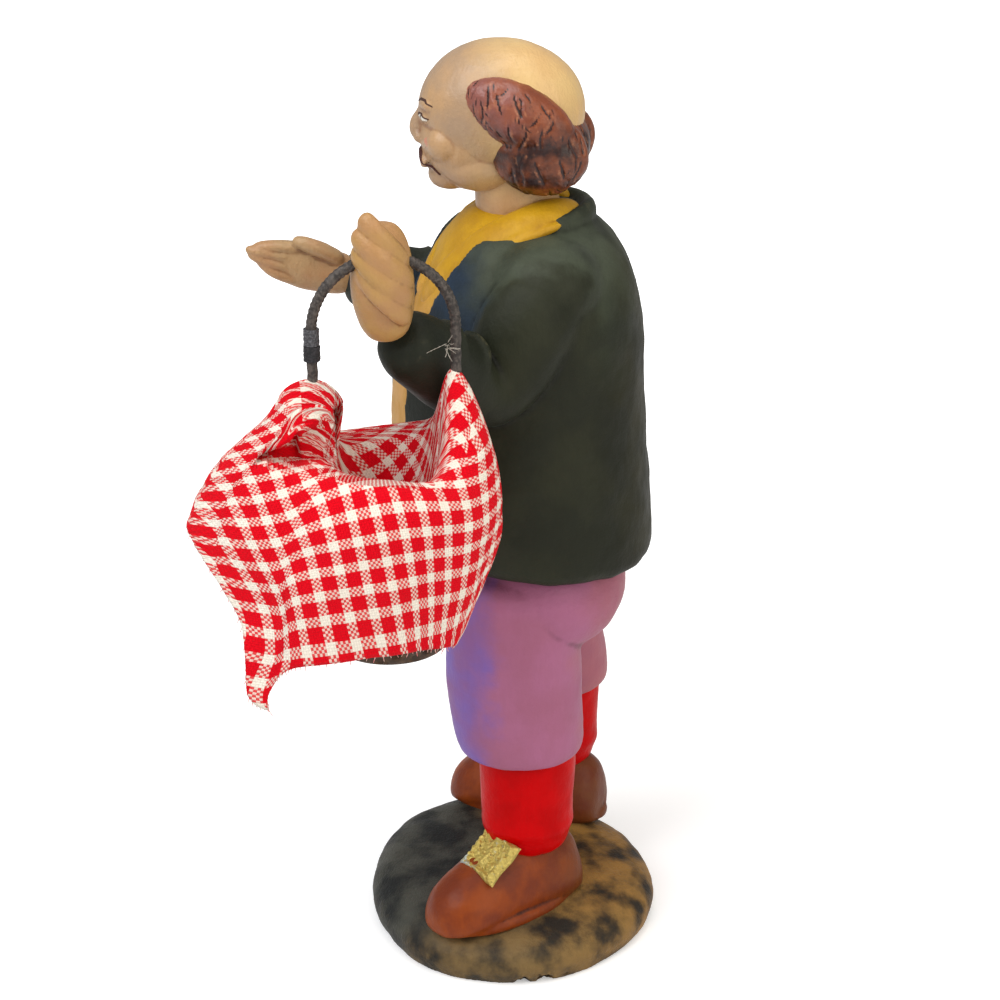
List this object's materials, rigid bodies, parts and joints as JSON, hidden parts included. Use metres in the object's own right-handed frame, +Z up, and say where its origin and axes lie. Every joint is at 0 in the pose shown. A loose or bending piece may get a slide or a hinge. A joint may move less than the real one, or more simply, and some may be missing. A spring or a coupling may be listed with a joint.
{
  "type": "terracotta man figurine",
  "caption": "Standing painted clay countryman with a bald head and side hair, one arm held out and a cloth-lined basket hanging by its wire handle from the other hand.",
  "frame": {"origin": "the middle of the flat underside of the base", "axes": "+Z up through the figure; the figure's chest faces -Y and its left hand, with the basket, is on the +X side"},
  "size_m": [0.0805, 0.0782, 0.1505],
  "materials": {
    "painted_terracotta": "matt and satin paint in several colours over fired clay",
    "wicker": "plain dry wicker",
    "black_wire": "wire wrapped in dull black paper",
    "black_tape": "wound black tape",
    "red_gingham": "red and white checked cotton, plain weave"
  },
  "bodies": {
    "root": {"terracotta_figure": "painted_terracotta", "basket": "wicker", "basket_handle": "black_wire", "handle_binding": "black_tape", "gingham_cloth": "red_gingham"}
  },
  "joints": []
}
